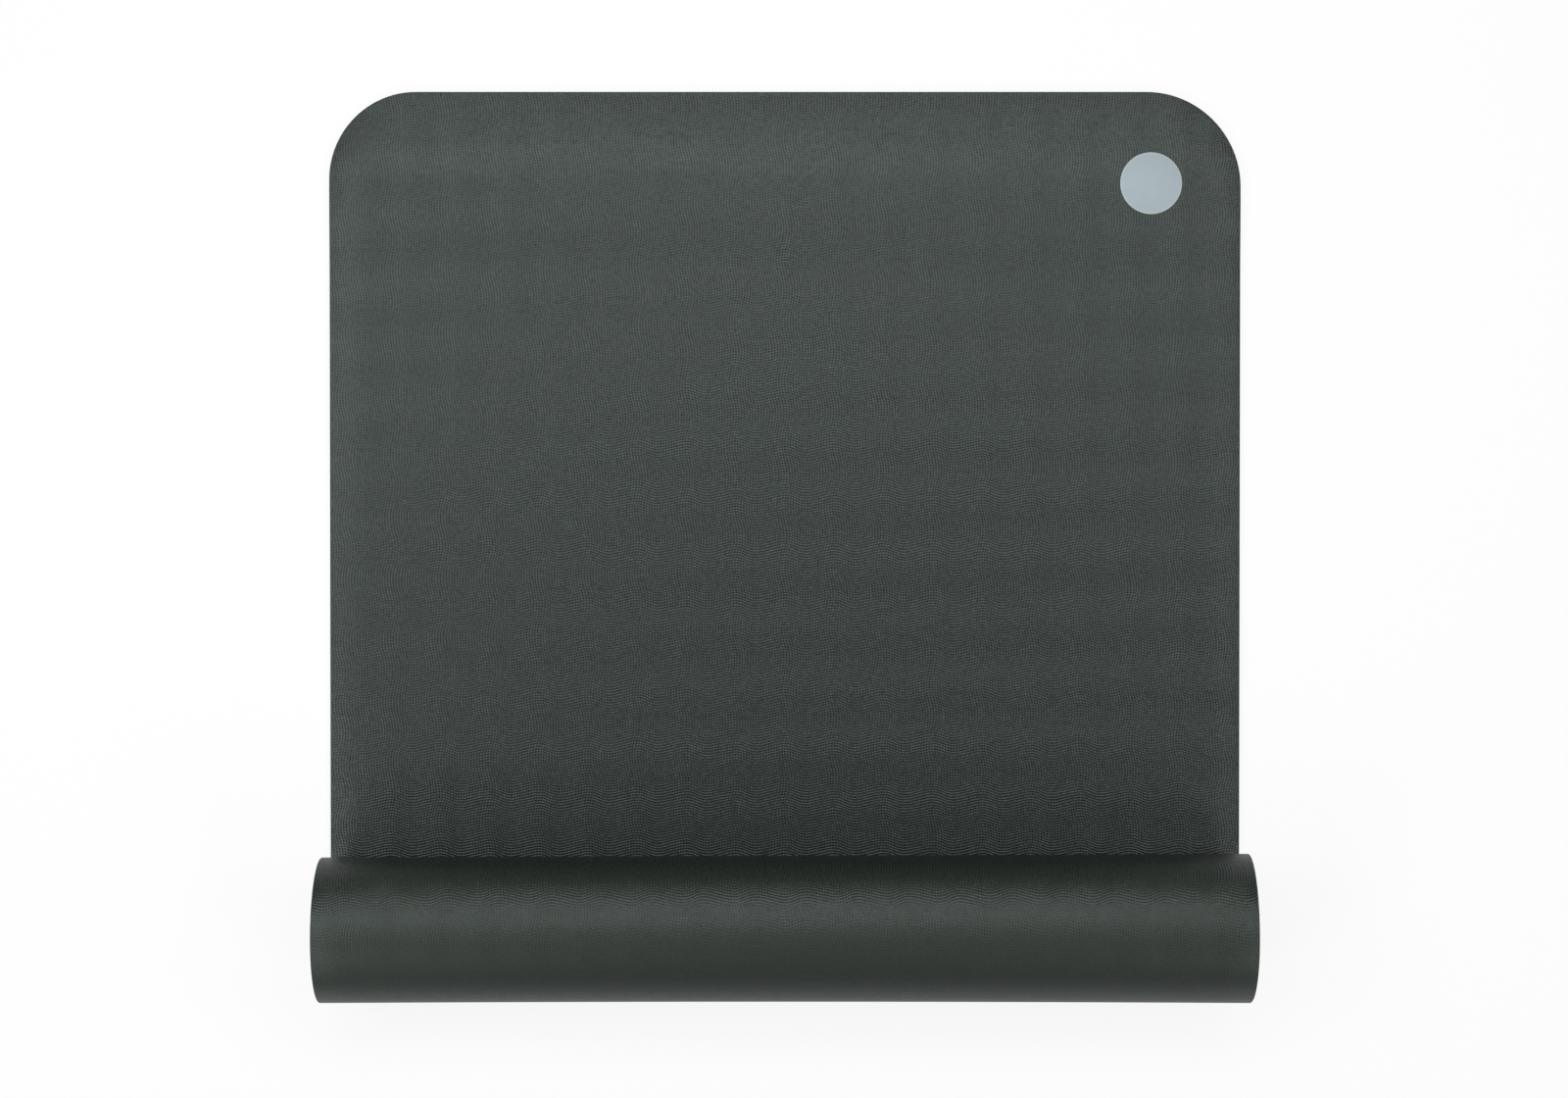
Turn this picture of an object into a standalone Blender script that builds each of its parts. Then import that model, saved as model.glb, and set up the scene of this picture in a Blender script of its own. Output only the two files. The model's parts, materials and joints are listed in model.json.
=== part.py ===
"""A yoga mat of moulded rubber, two thirds of it still wound up on its own near end.

Metres, +Z up. X runs across the mat and +Y towards its flat far end. The origin is on the
floor, under the middle of the mat's bounding box.

The mat is one sheet. It lies flat from its far end to the bend line, rises there, and is wound
over itself towards the far end, so the outside of the roll is the mat's underside. The first
half turn is made of sections that hinge on lines across the mat, so that the roll can be laid
open along the floor. The rest of the turns stay wound as one piece.
"""

import math

import bmesh
import bpy
from mathutils import Vector

# The sheet
WIDTH = 0.600
LENGTH = 1.850
THICKNESS = 0.004
CORNER_RADIUS = 0.058
FLAT_LENGTH = 0.5455
CORNER_STEPS = 12

# The roll
ROLL_RADIUS = 0.048
TURN_GAP = 0.00045

# The hinge lines
SECTIONS = 7
SECTION_ANGLE = math.radians(22.5)
FACETS_PER_SECTION = 4
CLEARANCE = 0.0003

# The round print
PRINT_RADIUS = 0.0203
PRINT_THICKNESS = 0.0005
PRINT_STANDS_PROUD = 0.0001
PRINT_FROM_FAR_EDGE = 0.0600
PRINT_FROM_SIDE = 0.0590
PRINT_EDGE_RADIUS = 0.0001
PRINT_SIDES = 64
CUT_OVERRUN = 0.002

HALF_THICKNESS = THICKNESS / 2
PITCH = THICKNESS + TURN_GAP
FIRST_RADIUS = ROLL_RADIUS - HALF_THICKNESS
RADIUS_DROP = PITCH * SECTION_ANGLE / math.tau
FACET_ANGLE = SECTION_ANGLE / FACETS_PER_SECTION
WOUND_LENGTH = LENGTH - FLAT_LENGTH

# A hinge line lies a little outside the middle of the sheet, where the straight line between
# two hinges is as long as the sheet between them.
HINGE_OFFSET = FIRST_RADIUS * (SECTION_ANGLE / 2 / math.sin(SECTION_ANGLE / 2) - 1)
RELIEF = (HALF_THICKNESS - HINGE_OFFSET) * math.tan(SECTION_ANGLE / 2)


def outward(angle):
    """The direction from the roll's middle to the sheet, angle round from the bend line."""
    return Vector((0, -math.sin(angle), -math.cos(angle)))


class Winding:
    """The middle of the sheet's thickness, as a flat run and then arcs of falling radius.

    Every arc turns by one section's angle, but the first by half of it. An arc's centre lies on
    the line through its neighbour's centre and their shared end, so they meet without a kink.
    Lengths along the sheet start at the bend line and are negative on the flat run.
    """

    def __init__(self, bend_line):
        self.bend_line = bend_line
        self.arcs = []
        start, angle, turn, radius = 0.0, 0.0, SECTION_ANGLE / 2, FIRST_RADIUS
        centre = Vector((0, bend_line, HALF_THICKNESS + FIRST_RADIUS))
        while start < WOUND_LENGTH:
            self.arcs.append((start, angle, radius, centre))
            start += radius * turn
            angle += turn
            centre = centre + outward(angle) * RADIUS_DROP
            radius -= RADIUS_DROP
            turn = SECTION_ANGLE

    def arc_at(self, along):
        """The arc that holds a length along the sheet."""
        return [arc for arc in self.arcs if arc[0] <= max(along, 0)][-1]

    def place(self, along, out):
        """The point at a length along the sheet, and a distance outside its middle."""
        if along < 0:
            return Vector((0, self.bend_line - along, HALF_THICKNESS - out))
        start, angle, radius, centre = self.arc_at(along)
        return centre + outward(angle + (along - start) / radius) * (radius + out)

    def hinge(self, number):
        """The hinge line before section number, counted from 1."""
        return self.place(self.arcs[number][0], HINGE_OFFSET)

    def stations(self, first, last):
        """The lengths along the sheet of the facets' ends from arc first up to before arc last."""
        found = []
        for start, _, radius, _ in self.arcs[first:last]:
            facets = FACETS_PER_SECTION if start > 0 else FACETS_PER_SECTION // 2
            found += [start + radius * FACET_ANGLE * n for n in range(facets)]
        return found

    def reach(self):
        """How far the roll's outside stands past the bend line."""
        return max(
            self.bend_line - self.place(along, HALF_THICKNESS).y
            for along in self.stations(0, SECTIONS + 1)
        )


def half_width(along):
    """Half of the mat's width at a length along it, less where its four corners are rounded."""
    to_end = min(FLAT_LENGTH + along, WOUND_LENGTH - along)
    missing = max(CORNER_RADIUS - to_end, 0)
    round_part = math.sqrt(max(CORNER_RADIUS**2 - missing**2, 0))
    return WIDTH / 2 - CORNER_RADIUS + round_part


def principled(name, colour, roughness):
    """A plain material with the colour as linear values."""
    material = bpy.data.materials.new(name)
    material.use_nodes = True
    shader = material.node_tree.nodes["Principled BSDF"]
    shader.inputs["Base Color"].default_value = (*colour, 1)
    shader.inputs["Roughness"].default_value = roughness
    shader.inputs["Metallic"].default_value = 0
    material.diffuse_color = (*colour, 1)
    return material


def keep(name, mesh, origin, material, collection):
    """Makes a named object of a mesh whose points are in the world, with its origin on a point."""
    for vertex in mesh.vertices:
        vertex.co -= origin
    mesh.materials.append(material)
    piece = bpy.data.objects.new(name, mesh)
    piece.location = origin
    collection.objects.link(piece)
    return piece


def wrapped_sheet(name, winding, inner, outer, origin, material, collection):
    """A box, cut into rows along its length and laid along the sheet's winding.

    inner and outer are the lengths along the sheet of each row's edge on the two faces. They
    differ only where an end is cut back on the outside, to clear its neighbour as they unroll.
    Lengths grow towards -Y, so X is turned round as well, which keeps the faces pointing out.
    """
    rows = len(inner) - 1
    bm = bmesh.new()
    bmesh.ops.create_cube(bm, size=1)
    lengthwise = [e for e in bm.edges if e.verts[0].co.y != e.verts[1].co.y]
    bmesh.ops.subdivide_edges(bm, edges=lengthwise, cuts=rows - 1, use_grid_fill=True)
    for vertex in bm.verts:
        row = round((vertex.co.y + 1 / 2) * rows)
        is_outer = vertex.co.z < 0
        along = outer[row] if is_outer else inner[row]
        side = -math.copysign(half_width(inner[row]), vertex.co.x)
        vertex.co = winding.place(along, HALF_THICKNESS if is_outer else -HALF_THICKNESS)
        vertex.co.x = side
    mesh = bpy.data.meshes.new(name)
    bm.to_mesh(mesh)
    bm.free()
    mesh.shade_smooth()
    mesh.set_sharp_from_angle(angle=math.radians(30))
    return keep(name, mesh, origin, material, collection)


def with_ends(stations, start, end, start_relief, end_relief):
    """The rows between two lengths along the sheet, on the inner and on the outer face."""
    between = [s for s in stations if start + CLEARANCE < s < end - CLEARANCE]
    inner = [start, *between, end]
    outer = [start + start_relief, *between, end - end_relief]
    return inner, outer


def flat_sheet(winding, material, collection):
    """The flat run, from the bend line to the rounded far end."""
    bends = [math.pi / 2 * n / CORNER_STEPS for n in range(CORNER_STEPS + 1)]
    rows = [-FLAT_LENGTH + CORNER_RADIUS * (1 - math.cos(a)) for a in bends]
    rows.append(-CLEARANCE)
    origin = Vector((0, winding.bend_line, 0))
    return wrapped_sheet("flat_sheet", winding, rows, rows, origin, material, collection)


def first_bend(winding, material, collection):
    """The half section that rises from the floor and stays with the flat run."""
    end = winding.arcs[1][0] - CLEARANCE / 2
    inner, outer = with_ends(winding.stations(0, 1), 0.0, end, 0.0, RELIEF)
    origin = Vector((0, winding.bend_line, 0))
    return wrapped_sheet("first_bend", winding, inner, outer, origin, material, collection)


def outer_wrap(winding, number, material, collection):
    """One section of the first half turn, with its origin on its hinge line."""
    start = winding.arcs[number][0] + CLEARANCE / 2
    end = winding.arcs[number + 1][0] - CLEARANCE / 2
    inner, outer = with_ends(winding.stations(number, number + 1), start, end, RELIEF, RELIEF)
    name = f"outer_wrap_{number}"
    origin = winding.hinge(number)
    return wrapped_sheet(name, winding, inner, outer, origin, material, collection)


def wound_roll(winding, material, collection):
    """All the turns that stay wound, to the mat's rounded inner end."""
    first = SECTIONS + 1
    start = winding.arcs[first][0] + CLEARANCE / 2
    stations = winding.stations(first, len(winding.arcs))
    inner, outer = with_ends(stations, start, WOUND_LENGTH, RELIEF, 0.0)
    origin = winding.hinge(first)
    return wrapped_sheet("wound_roll", winding, inner, outer, origin, material, collection)


def disc(name, radius, low, high, centre, material, collection, edge=0.0):
    """A round plate between two heights, with its top edge rounded over by edge."""
    bm = bmesh.new()
    bmesh.ops.create_cone(
        bm, cap_ends=True, segments=PRINT_SIDES, radius1=radius, radius2=radius, depth=high - low
    )
    top = [e for e in bm.edges if all(v.co.z > 0 for v in e.verts)]
    if edge:
        bmesh.ops.bevel(bm, geom=top, offset=edge, segments=1, affect="EDGES")
    bmesh.ops.translate(bm, verts=bm.verts, vec=(centre.x, centre.y, (low + high) / 2))
    mesh = bpy.data.meshes.new(name)
    bm.to_mesh(mesh)
    bm.free()
    mesh.shade_smooth()
    mesh.set_sharp_from_angle(angle=math.radians(30))
    return keep(name, mesh, Vector((centre.x, centre.y, low)), material, collection)


def round_print(winding, sheet, material, collection, cutters):
    """The round print near a far corner, inlaid in a shallow pocket of the sheet's upper face."""
    centre = Vector(
        (WIDTH / 2 - PRINT_FROM_SIDE, winding.bend_line + FLAT_LENGTH - PRINT_FROM_FAR_EDGE, 0)
    )
    top = THICKNESS + PRINT_STANDS_PROUD
    bottom = top - PRINT_THICKNESS
    piece = disc(
        "round_print", PRINT_RADIUS, bottom, top, centre, material, collection, PRINT_EDGE_RADIUS
    )
    pocket = disc(
        "print_pocket",
        PRINT_RADIUS + CLEARANCE,
        bottom - CLEARANCE,
        THICKNESS + CUT_OVERRUN,
        centre,
        material,
        cutters,
    )
    pocket.hide_render = True
    pocket.display_type = "WIRE"
    cut = sheet.modifiers.new("Print pocket", "BOOLEAN")
    cut.operation = "DIFFERENCE"
    cut.object = pocket
    return piece


def hang_on(child, parent):
    """Parents one piece to another without moving it."""
    child.location -= parent.matrix_world.translation
    child.parent = parent
    bpy.context.view_layer.update()


def least_turn_gap(winding):
    """The least distance between the facing corners of neighbouring turns."""
    lengths = [*winding.stations(0, len(winding.arcs))]
    lengths = [along for along in lengths if along < WOUND_LENGTH]
    outside = [winding.place(along, HALF_THICKNESS) for along in lengths]
    inside = [winding.place(along, -HALF_THICKNESS) for along in lengths]
    turn = round(math.tau / FACET_ANGLE)
    return min(
        (outside[n] - inside[m]).length
        for n in range(turn, len(lengths))
        for m in range(max(n - 3 * turn // 2, 0), n - turn // 2)
    )


def main():
    for leftover in list(bpy.data.objects):
        bpy.data.objects.remove(leftover)
    mat = bpy.data.collections.new("Yoga mat")
    cutters = bpy.data.collections.new("Cutters")
    bpy.context.scene.collection.children.link(mat)
    bpy.context.scene.collection.children.link(cutters)

    rubber = principled("rubber", (0.060, 0.074, 0.070), 0.75)
    ink = principled("print", (0.460, 0.520, 0.570), 0.55)

    reach = Winding(0.0).reach()
    winding = Winding((reach - FLAT_LENGTH) / 2)

    sheet = flat_sheet(winding, rubber, mat)
    bend = first_bend(winding, rubber, mat)
    print_piece = round_print(winding, sheet, ink, mat, cutters)
    bpy.context.view_layer.update()
    hang_on(bend, sheet)
    hang_on(print_piece, sheet)
    carrier = sheet
    for number in range(1, SECTIONS + 1):
        section = outer_wrap(winding, number, rubber, mat)
        hang_on(section, carrier)
        carrier = section
    roll = wound_roll(winding, rubber, mat)
    hang_on(roll, carrier)

    print(f"bend line at y {winding.bend_line:.5f}, roll stands {reach:.5f} past it")
    for number in range(1, SECTIONS + 2):
        line = winding.hinge(number)
        print(f"hinge line {number} at y {line.y:.5f} z {line.z:.5f}")
    print(f"least gap between turns {least_turn_gap(winding) * 1000:.3f} mm")


main()
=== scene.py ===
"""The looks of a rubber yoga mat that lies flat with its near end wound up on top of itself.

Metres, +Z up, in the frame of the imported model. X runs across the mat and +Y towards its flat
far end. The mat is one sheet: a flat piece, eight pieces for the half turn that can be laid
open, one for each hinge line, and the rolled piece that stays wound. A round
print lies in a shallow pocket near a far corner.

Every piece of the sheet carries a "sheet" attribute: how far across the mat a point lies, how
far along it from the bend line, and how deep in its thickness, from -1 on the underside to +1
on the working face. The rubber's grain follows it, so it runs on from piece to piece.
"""

import json
import logging
import math
from collections.abc import Callable, Iterator
from contextlib import contextmanager
from dataclasses import dataclass, field
from enum import Enum
from typing import Any

import bpy
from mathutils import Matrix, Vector


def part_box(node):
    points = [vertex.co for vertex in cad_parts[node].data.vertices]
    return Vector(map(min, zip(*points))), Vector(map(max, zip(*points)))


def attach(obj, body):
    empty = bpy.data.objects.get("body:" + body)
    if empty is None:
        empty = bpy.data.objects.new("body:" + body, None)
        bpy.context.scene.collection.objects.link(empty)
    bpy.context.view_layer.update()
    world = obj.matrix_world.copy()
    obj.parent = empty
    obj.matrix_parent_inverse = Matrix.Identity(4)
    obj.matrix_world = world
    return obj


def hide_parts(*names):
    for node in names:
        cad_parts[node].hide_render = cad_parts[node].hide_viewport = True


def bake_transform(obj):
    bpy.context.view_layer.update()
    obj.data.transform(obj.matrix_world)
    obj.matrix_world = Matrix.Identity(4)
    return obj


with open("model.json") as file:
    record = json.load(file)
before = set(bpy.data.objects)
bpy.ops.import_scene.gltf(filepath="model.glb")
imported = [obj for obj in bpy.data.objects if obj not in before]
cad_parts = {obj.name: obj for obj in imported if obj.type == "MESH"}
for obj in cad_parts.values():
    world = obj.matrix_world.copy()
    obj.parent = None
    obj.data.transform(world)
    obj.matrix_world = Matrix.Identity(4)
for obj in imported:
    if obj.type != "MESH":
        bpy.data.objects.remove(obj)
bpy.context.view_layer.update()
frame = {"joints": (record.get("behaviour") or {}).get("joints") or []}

LOG = logging.getLogger("yoga_mat")

PHOTO_SIZE = (1600, 1120)
MM = 0.001
TINY = 1e-5
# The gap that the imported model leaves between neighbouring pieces
CLEARANCE = 0.3 * MM


class Slot(Enum):
    """The record's material slots."""

    RUBBER = "mat_rubber"
    PRINT = "print"


class Body(Enum):
    """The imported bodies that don't carry a number."""

    MAT = "mat"
    ROLL = "roll"


# Modelling helpers


def deselect_everything() -> None:
    """Leaves no object selected or active."""
    if bpy.context.mode != "OBJECT":
        bpy.ops.object.mode_set(mode="OBJECT")
    bpy.ops.object.select_all(action="DESELECT")
    bpy.context.view_layer.objects.active = None


def pick(piece: bpy.types.Object) -> None:
    """Makes one object the only selected one, and the active one.

    Args:
        piece: The object.
    """
    deselect_everything()
    piece.select_set(True)
    bpy.context.view_layer.objects.active = piece


@contextmanager
def editing(piece: bpy.types.Object, element: str = "VERT") -> Iterator[None]:
    """Edit mode on one object, in vertex, edge or face mode, with everything selected.

    Args:
        piece: The mesh object to edit.
        element: VERT, EDGE or FACE.
    """
    pick(piece)
    bpy.ops.object.mode_set(mode="EDIT")
    bpy.ops.mesh.select_mode(type=element)
    bpy.ops.mesh.select_all(action="SELECT")
    yield
    bpy.ops.object.mode_set(mode="OBJECT")


def select_points(piece: bpy.types.Object, wanted: Callable[[Vector], bool]) -> None:
    """Selects the vertices whose places are wanted, and what lies between them.

    Args:
        piece: The object in vertex edit mode.
        wanted: Says of a place whether it is wanted.
    """
    bpy.ops.mesh.select_all(action="DESELECT")
    bpy.ops.object.mode_set(mode="OBJECT")
    for vertex in piece.data.vertices:
        vertex.select = wanted(vertex.co)
    bpy.ops.object.mode_set(mode="EDIT")


def select_edges(piece: bpy.types.Object, wanted: Callable[[Vector, Vector], bool]) -> None:
    """Selects the edges whose two ends are wanted.

    Args:
        piece: The object in edge edit mode.
        wanted: Says of an edge's two places whether it is wanted.
    """
    bpy.ops.mesh.select_all(action="DESELECT")
    bpy.ops.object.mode_set(mode="OBJECT")
    points = piece.data.vertices
    for edge in piece.data.edges:
        first, second = (points[index].co for index in edge.vertices)
        edge.select = wanted(first, second)
    bpy.ops.object.mode_set(mode="EDIT")


def take_added(name: str, scale: tuple[float, float, float] = (1, 1, 1)) -> bpy.types.Object:
    """Names and scales the object that was just added, and applies its transform.

    Args:
        name: Its new name.
        scale: Its scale along X, Y and Z.

    Returns:
        The object.
    """
    piece = bpy.context.active_object
    piece.name = piece.data.name = name
    piece.scale = scale
    bpy.ops.object.transform_apply(location=True, rotation=True, scale=True)
    return piece


def cut_up(normal: tuple[int, int, int], places: list[float]) -> None:
    """Cuts what is being edited by planes that face an axis, at these places along it.

    Args:
        normal: The axis, such as (1, 0, 0).
        places: The places along it.
    """
    for place in places:
        bpy.ops.mesh.select_all(action="SELECT")
        bpy.ops.mesh.bisect(plane_co=[part * place for part in normal], plane_no=normal)


def close_up(piece: bpy.types.Object, smooth_under: float) -> None:
    """Merges doubled points, turns the faces outwards and shades all but the sharp edges smooth.

    Args:
        piece: The finished mesh object.
        smooth_under: The angle in radians under which an edge is smooth.
    """
    with editing(piece):
        bpy.ops.mesh.remove_doubles(threshold=TINY / 10)
        bpy.ops.mesh.select_all(action="SELECT")
        bpy.ops.mesh.normals_make_consistent(inside=False)
    bpy.ops.object.shade_smooth_by_angle(angle=smooth_under)


# The sheet and its winding


@dataclass(frozen=True)
class Sheet:
    """The mat's own sizes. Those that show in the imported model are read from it."""

    width: float
    thickness: float
    flat_length: float
    bend_line: float
    length: float = 1.850
    corner_radius: float = 0.058
    edge_radius: float = 0.7 * MM
    edge_segments: int = 3
    columns: int = 24
    smooth_under: float = math.radians(40)

    @classmethod
    def from_frame(cls) -> "Sheet":
        """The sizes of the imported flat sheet, which stops a clearance short of the bend line.

        Returns:
            The sheet.
        """
        low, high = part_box("flat_sheet")
        bend_line = low.y - CLEARANCE
        return cls(
            width=high.x - low.x,
            thickness=high.z - low.z,
            flat_length=high.y - bend_line,
            bend_line=bend_line,
        )

    @property
    def half_thickness(self) -> float:
        """Half of the thickness."""
        return self.thickness / 2

    @property
    def wound_length(self) -> float:
        """The length of the sheet past the bend line."""
        return self.length - self.flat_length

    @property
    def far_edge(self) -> float:
        """Where the flat far end stops, along Y."""
        return self.bend_line + self.flat_length

    def column_places(self) -> list[float]:
        """The places across the mat at which every piece is cut into columns."""
        step = self.width / self.columns
        return [step * n - self.width / 2 for n in range(1, self.columns)]

    def narrowing(self, along: float) -> float:
        """The share of the full width that the rounded inner corners leave.

        Args:
            along: The length along the sheet from the bend line.

        Returns:
            1 where the mat has its full width, and less near its inner end.
        """
        missing = max(self.corner_radius - (self.wound_length - along), 0)
        round_part = math.sqrt(max(self.corner_radius**2 - missing**2, 0))
        return 1 - 2 * (self.corner_radius - round_part) / self.width


def outward(angle: float) -> Vector:
    """The direction from the roll's middle to the sheet, angle round from the bend line."""
    return Vector((0, -math.sin(angle), -math.cos(angle)))


@dataclass(frozen=True)
class Arc:
    """A stretch of the winding with one centre and radius."""

    start: float
    angle: float
    turn: float
    radius: float
    centre: Vector

    @property
    def end_angle(self) -> float:
        """The angle at which the next arc takes over."""
        return self.angle + self.turn


@dataclass
class Winding:
    """The middle of the sheet's thickness past the bend line, as arcs of falling radius.

    Every arc turns by one section's angle, but the first by half of it. The arcs meet without a
    kink, and each hinge line lies where two of them meet.
    """

    sheet: Sheet
    roll_radius: float = 0.048
    turn_gap: float = 0.45 * MM
    section_angle: float = math.radians(22.5)
    arcs: list[Arc] = field(init=False)

    def __post_init__(self) -> None:
        """Lays out the arcs."""
        sheet = self.sheet
        drop = (sheet.thickness + self.turn_gap) * self.section_angle / math.tau
        radius = self.roll_radius - sheet.half_thickness
        centre = Vector((0, sheet.bend_line, self.roll_radius))
        start, angle, turn = 0.0, 0.0, self.section_angle / 2
        self.arcs = []
        while start < sheet.wound_length:
            turn = min(turn, (sheet.wound_length - start) / radius)
            self.arcs.append(Arc(start, angle, turn, radius, centre))
            start += radius * turn
            angle += turn
            centre = centre + outward(angle) * drop
            radius -= drop
            turn = self.section_angle

    @property
    def end_angle(self) -> float:
        """The angle at which the sheet ends inside the roll."""
        return self.arcs[-1].end_angle

    def arc_at(self, angle: float) -> Arc:
        """The arc that holds an angle, or starts at it."""
        return [arc for arc in self.arcs if arc.angle <= angle + TINY][-1]

    def along_at(self, angle: float) -> float:
        """The length along the sheet at an angle."""
        arc = self.arc_at(angle)
        return arc.start + (angle - arc.angle) * arc.radius

    def place(self, angle: float, out: float = 0.0) -> Vector:
        """The point at an angle of the winding.

        Args:
            angle: The angle round from the bend line.
            out: The distance outside the middle of the sheet.

        Returns:
            The point, with x at 0.
        """
        arc = self.arc_at(angle)
        return arc.centre + outward(angle) * (arc.radius + out)

    def parts(self, first: float, last: float) -> list[tuple[Arc, float, float]]:
        """The arcs between two angles.

        Args:
            first: The smaller angle.
            last: The greater angle.

        Returns:
            The arcs in order, each with the angles at which its part starts and ends.
        """
        found = []
        for arc in self.arcs:
            start, end = max(arc.angle, first), min(arc.end_angle, last)
            if end - start > TINY:
                found.append((arc, start, end))
        return found


# Pieces of the sheet


def store_sheet_places(piece: bpy.types.Object, places: list[tuple[float, float, float]]) -> None:
    """Writes the "sheet" attribute that the rubber's grain follows.

    Args:
        piece: The mesh object.
        places: Across, along and depth for each vertex.
    """
    attribute = piece.data.attributes.new("sheet", "FLOAT_VECTOR", "POINT")
    attribute.data.foreach_set("vector", [number for place in places for number in place])


@dataclass(frozen=True)
class FarEndLift:
    """How the far end stands off the floor, as on a mat that has been kept rolled up.

    Its last stretch curls up towards the edge, and a low swell lies behind that.
    """

    far_edge: float
    curl_length: float = 20 * MM
    curl_height: float = 0.8 * MM
    swell_length: float = 100 * MM
    swell_height: float = 1.25 * MM
    row_step: float = 4 * MM

    @property
    def length(self) -> float:
        """How far the lift reaches from the far edge."""
        return self.curl_length + self.swell_length

    def height(self, y: float) -> float:
        """The height of the mat's underside above the floor at a place along Y.

        Args:
            y: The place.

        Returns:
            The height.
        """
        inward = self.far_edge - y
        curl = max(1 - inward / self.curl_length, 0) ** 2
        share = min(max((inward - self.curl_length) / self.swell_length, 0), 1)
        return curl * self.curl_height + math.sin(math.pi * share) ** 2 * self.swell_height

    def rows(self) -> list[float]:
        """The places along Y at which a lifted piece is cut, to follow the curve."""
        count = round(self.length / self.row_step)
        return [self.far_edge - self.row_step * n for n in range(1, count + 1)]

    def raise_piece(self, piece: bpy.types.Object) -> None:
        """Moves a piece's points up by the lift."""
        for point in piece.data.vertices:
            point.co.z += self.height(point.co.y)


@dataclass
class FlatPiece:
    """The flat run of the mat, from the bend line to its rounded far end."""

    sheet: Sheet
    lift: FarEndLift
    pocket_centre: Vector
    pocket_radius: float
    pocket_depth: float
    corner_radii: tuple[float, float] = (0.057, 0.062)
    corner_segments: int = 24
    pocket_sides: int = 96
    row_step: float = 22 * MM

    def build(self) -> bpy.types.Object:
        """Models the piece and gives it its place on the mat's body.

        Returns:
            The piece.
        """
        sheet = self.sheet
        deselect_everything()
        middle = sheet.bend_line + sheet.flat_length / 2
        bpy.ops.mesh.primitive_plane_add(size=1, location=(0, middle, 0))
        piece = take_added("flat_part", (sheet.width, sheet.flat_length, 1))
        self.round_corners(piece)
        self.raise_thickness(piece)
        self.round_outline(piece)
        self.cut_pocket(piece)
        self.cut_rows_and_columns(piece)
        close_up(piece, sheet.smooth_under)
        half = sheet.half_thickness
        places = [
            (v.co.x, sheet.bend_line - v.co.y, v.co.z / half - 1) for v in piece.data.vertices
        ]
        store_sheet_places(piece, places)
        self.lift.raise_piece(piece)
        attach(piece, Body.MAT.value)
        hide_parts("flat_sheet")
        return piece

    def round_corners(self, piece: bpy.types.Object) -> None:
        """Rounds the two far corners of the outline, the right one a little more.

        Args:
            piece: The piece.
        """
        far = self.sheet.far_edge - TINY
        side = self.sheet.width / 2 - TINY
        with editing(piece):
            for sign, radius in zip((-1, 1), self.corner_radii, strict=True):
                select_points(piece, lambda place, s=sign: place.y > far and s * place.x > side)
                bpy.ops.mesh.bevel(
                    offset=radius, segments=self.corner_segments, affect="VERTICES"
                )

    def raise_thickness(self, piece: bpy.types.Object) -> None:
        """Extrudes the outline upwards by the sheet's thickness.

        Args:
            piece: The piece.
        """
        with editing(piece, "FACE"):
            rise = {"value": (0, 0, self.sheet.thickness)}
            bpy.ops.mesh.extrude_region_move(TRANSFORM_OT_translate=rise)

    def round_outline(self, piece: bpy.types.Object) -> None:
        """Rounds the top and bottom edges of the outline, but not those along the bend line.

        Args:
            piece: The piece.
        """
        seam = self.sheet.bend_line + TINY

        def on_outline(first: Vector, second: Vector) -> bool:
            """Whether an edge runs along the outline, off the bend line."""
            return abs(first.z - second.z) < TINY and max(first.y, second.y) > seam

        with editing(piece, "EDGE"):
            select_edges(piece, on_outline)
            bpy.ops.mesh.bevel(
                offset=self.sheet.edge_radius, segments=self.sheet.edge_segments, affect="EDGES"
            )

    def cut_pocket(self, piece: bpy.types.Object) -> None:
        """Cuts the shallow round pocket for the print.

        Args:
            piece: The piece.
        """
        top = self.sheet.thickness
        deselect_everything()
        bpy.ops.mesh.primitive_cylinder_add(
            vertices=self.pocket_sides,
            radius=self.pocket_radius,
            depth=2 * self.pocket_depth,
            location=(self.pocket_centre.x, self.pocket_centre.y, top),
        )
        cutter = take_added("pocket_cutter")
        pick(piece)
        modifier = piece.modifiers.new("pocket", "BOOLEAN")
        modifier.operation, modifier.solver = "DIFFERENCE", "EXACT"
        modifier.object = cutter
        bpy.ops.object.modifier_apply(modifier=modifier.name)
        bpy.data.objects.remove(cutter)

    def cut_rows_and_columns(self, piece: bpy.types.Object) -> None:
        """Cuts the piece across and along, more closely near the far edge.

        Args:
            piece: The piece.
        """
        sheet = self.sheet
        plain_length = sheet.flat_length - self.lift.length
        rows = round(plain_length / self.row_step)
        step = plain_length / rows
        places = [sheet.bend_line + step * n for n in range(1, rows)] + self.lift.rows()
        with editing(piece):
            cut_up((1, 0, 0), sheet.column_places())
            cut_up((0, 1, 0), places)


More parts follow.
